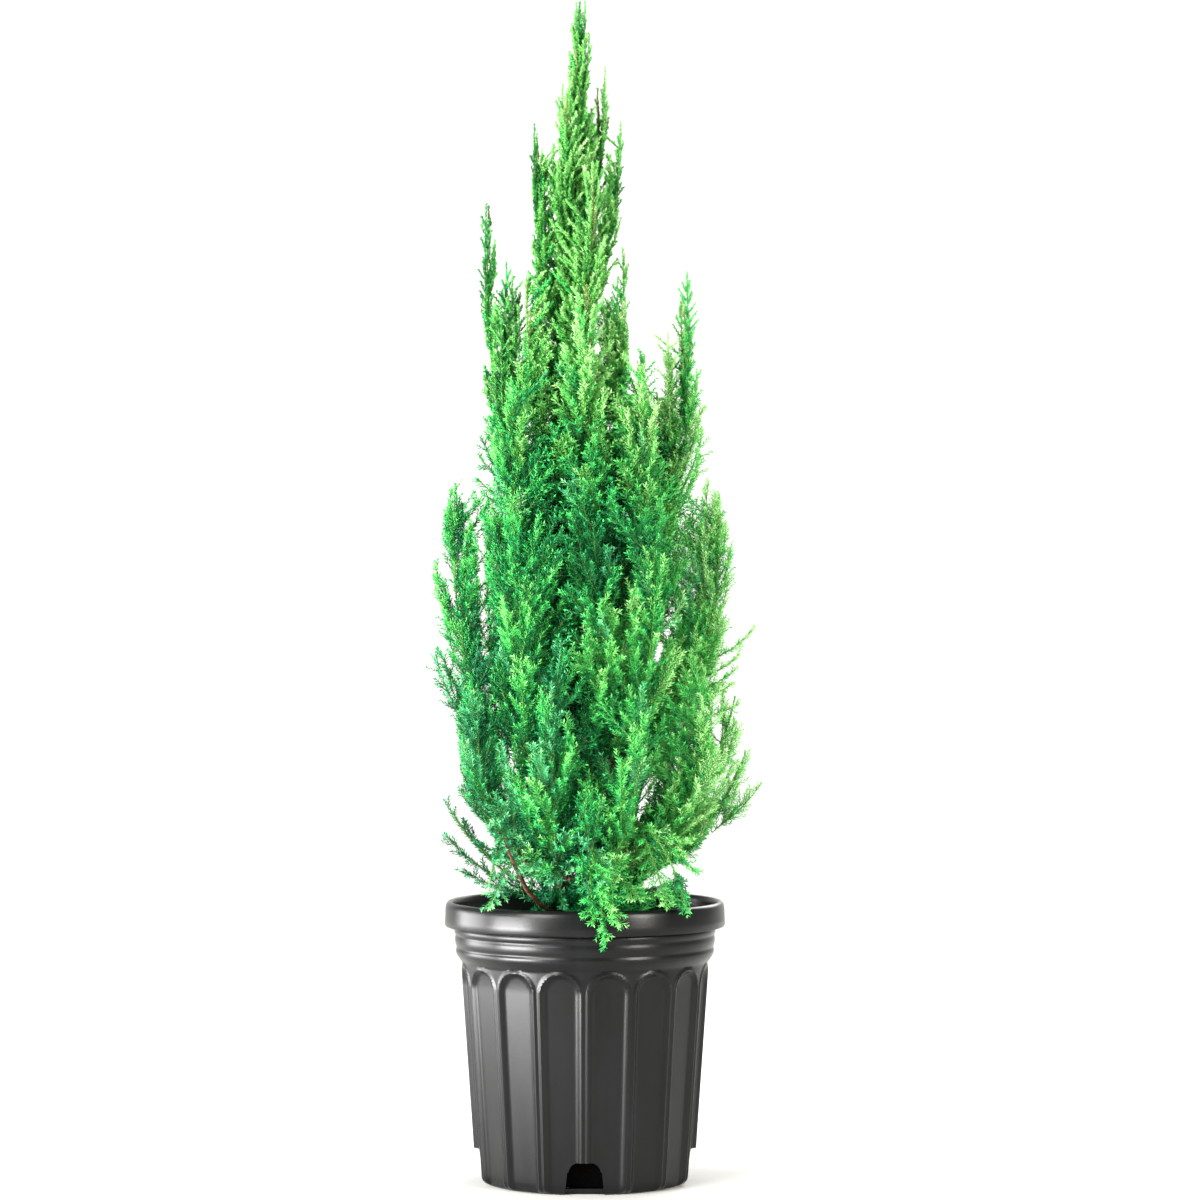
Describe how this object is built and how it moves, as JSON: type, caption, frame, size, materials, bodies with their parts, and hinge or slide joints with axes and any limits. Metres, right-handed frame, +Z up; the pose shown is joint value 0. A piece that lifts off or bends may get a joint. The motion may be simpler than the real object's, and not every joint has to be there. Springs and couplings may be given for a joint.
{
  "type": "potted blue point chinese juniper",
  "caption": "Narrow upright juniper with upswept feathery plumes of green needles, rooted in a filled black fluted nursery pot.",
  "frame": {"origin": "centre of the pot's flat underside", "axes": "+Z up along the trunk, -Y towards the side seen in the picture, +X to its right"},
  "size_m": [0.312, 0.3034, 1.12],
  "materials": {
    "pot_plastic": "satin black recycled plastic",
    "potting_mix": "moist shredded bark",
    "bark": "thin reddish brown bark in strips",
    "foliage": "fine green needles"
  },
  "bodies": {
    "root": {"pot": "pot_plastic", "soil": "potting_mix", "trunk": "bark", "bough_low_back": "bark", "bough_low_back_right": "bark", "bough_low_front_left": "bark", "bough_low_front_right": "bark", "bough_low_left_back": "bark", "bough_low_left_front": "bark", "bough_low_right": "bark", "bough_low_right_front": "bark", "bough_middle_back": "bark", "bough_middle_front_left": "bark", "bough_middle_front_right": "bark", "bough_middle_left": "bark", "bough_middle_left_back": "bark", "bough_middle_right": "bark", "bough_middle_right_back": "bark", "foliage_arm_front_left": "foliage", "foliage_arm_front_right": "foliage", "foliage_arm_left": "foliage", "foliage_arm_right": "foliage", "foliage_heart_back_left": "foliage", "foliage_heart_front": "foliage", "foliage_heart_front_left": "foliage", "foliage_heart_front_right": "foliage", "foliage_heart_right": "foliage", "foliage_leader": "foliage", "foliage_low_back": "foliage", "foliage_low_back_right": "foliage", "foliage_low_front_left": "foliage", "foliage_low_front_right": "foliage", "foliage_low_left_back": "foliage", "foliage_low_left_front": "foliage", "foliage_low_right": "foliage", "foliage_low_right_front": "foliage", "foliage_middle_back": "foliage", "foliage_middle_front_left": "foliage", "foliage_middle_front_right": "foliage", "foliage_middle_left": "foliage", "foliage_middle_left_back": "foliage", "foliage_middle_right": "foliage", "foliage_middle_right_back": "foliage", "foliage_outrigger_left": "foliage", "foliage_outrigger_right": "foliage", "foliage_shoulder_back": "foliage", "foliage_shoulder_back_left": "foliage", "foliage_shoulder_back_right": "foliage", "foliage_shoulder_front": "foliage", "foliage_shoulder_left": "foliage", "foliage_shoulder_right": "foliage", "foliage_skirt_front": "foliage", "foliage_skirt_front_left": "foliage", "foliage_skirt_front_right": "foliage", "foliage_spire_back": "foliage", "foliage_spire_back_right": "foliage", "foliage_spire_front": "foliage", "foliage_spire_front_left": "foliage", "foliage_spire_left": "foliage", "foliage_spire_right": "foliage"}
  },
  "joints": []
}
